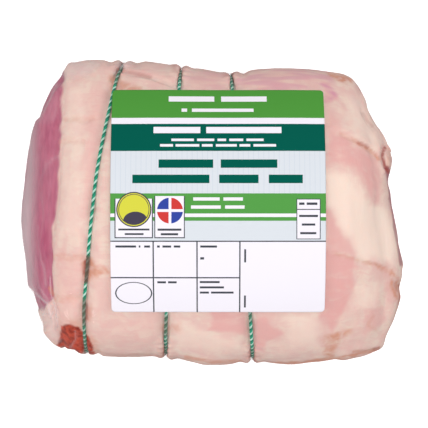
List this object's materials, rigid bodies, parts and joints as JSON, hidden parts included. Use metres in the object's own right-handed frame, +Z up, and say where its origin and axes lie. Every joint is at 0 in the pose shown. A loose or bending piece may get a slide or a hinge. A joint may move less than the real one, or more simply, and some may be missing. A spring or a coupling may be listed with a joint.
{
  "type": "boneless leg of lamb joint",
  "caption": "Raw half leg of lamb, boned, rolled and tied with green and white twine, in tight clear film with a square printed label on top.",
  "frame": {"origin": "under the middle of the joint, on the surface that it lies on", "axes": "+X along the roll to its small end, +Y across it to the label's green edge, +Z up through the label"},
  "size_m": [0.149, 0.1206, 0.0708],
  "materials": {
    "lamb": "cream-pink fat and pink lean under clear film",
    "film": "clear, tight and glossy shrink film",
    "twine": "green and white strands twisted together",
    "label": "satin printed paper in green, teal and pale blue"
  },
  "bodies": {
    "root": {"wrapped_lamb": "lamb", "twine_left": "twine", "twine_middle": "twine", "twine_right": "twine", "label": "label"}
  },
  "joints": []
}
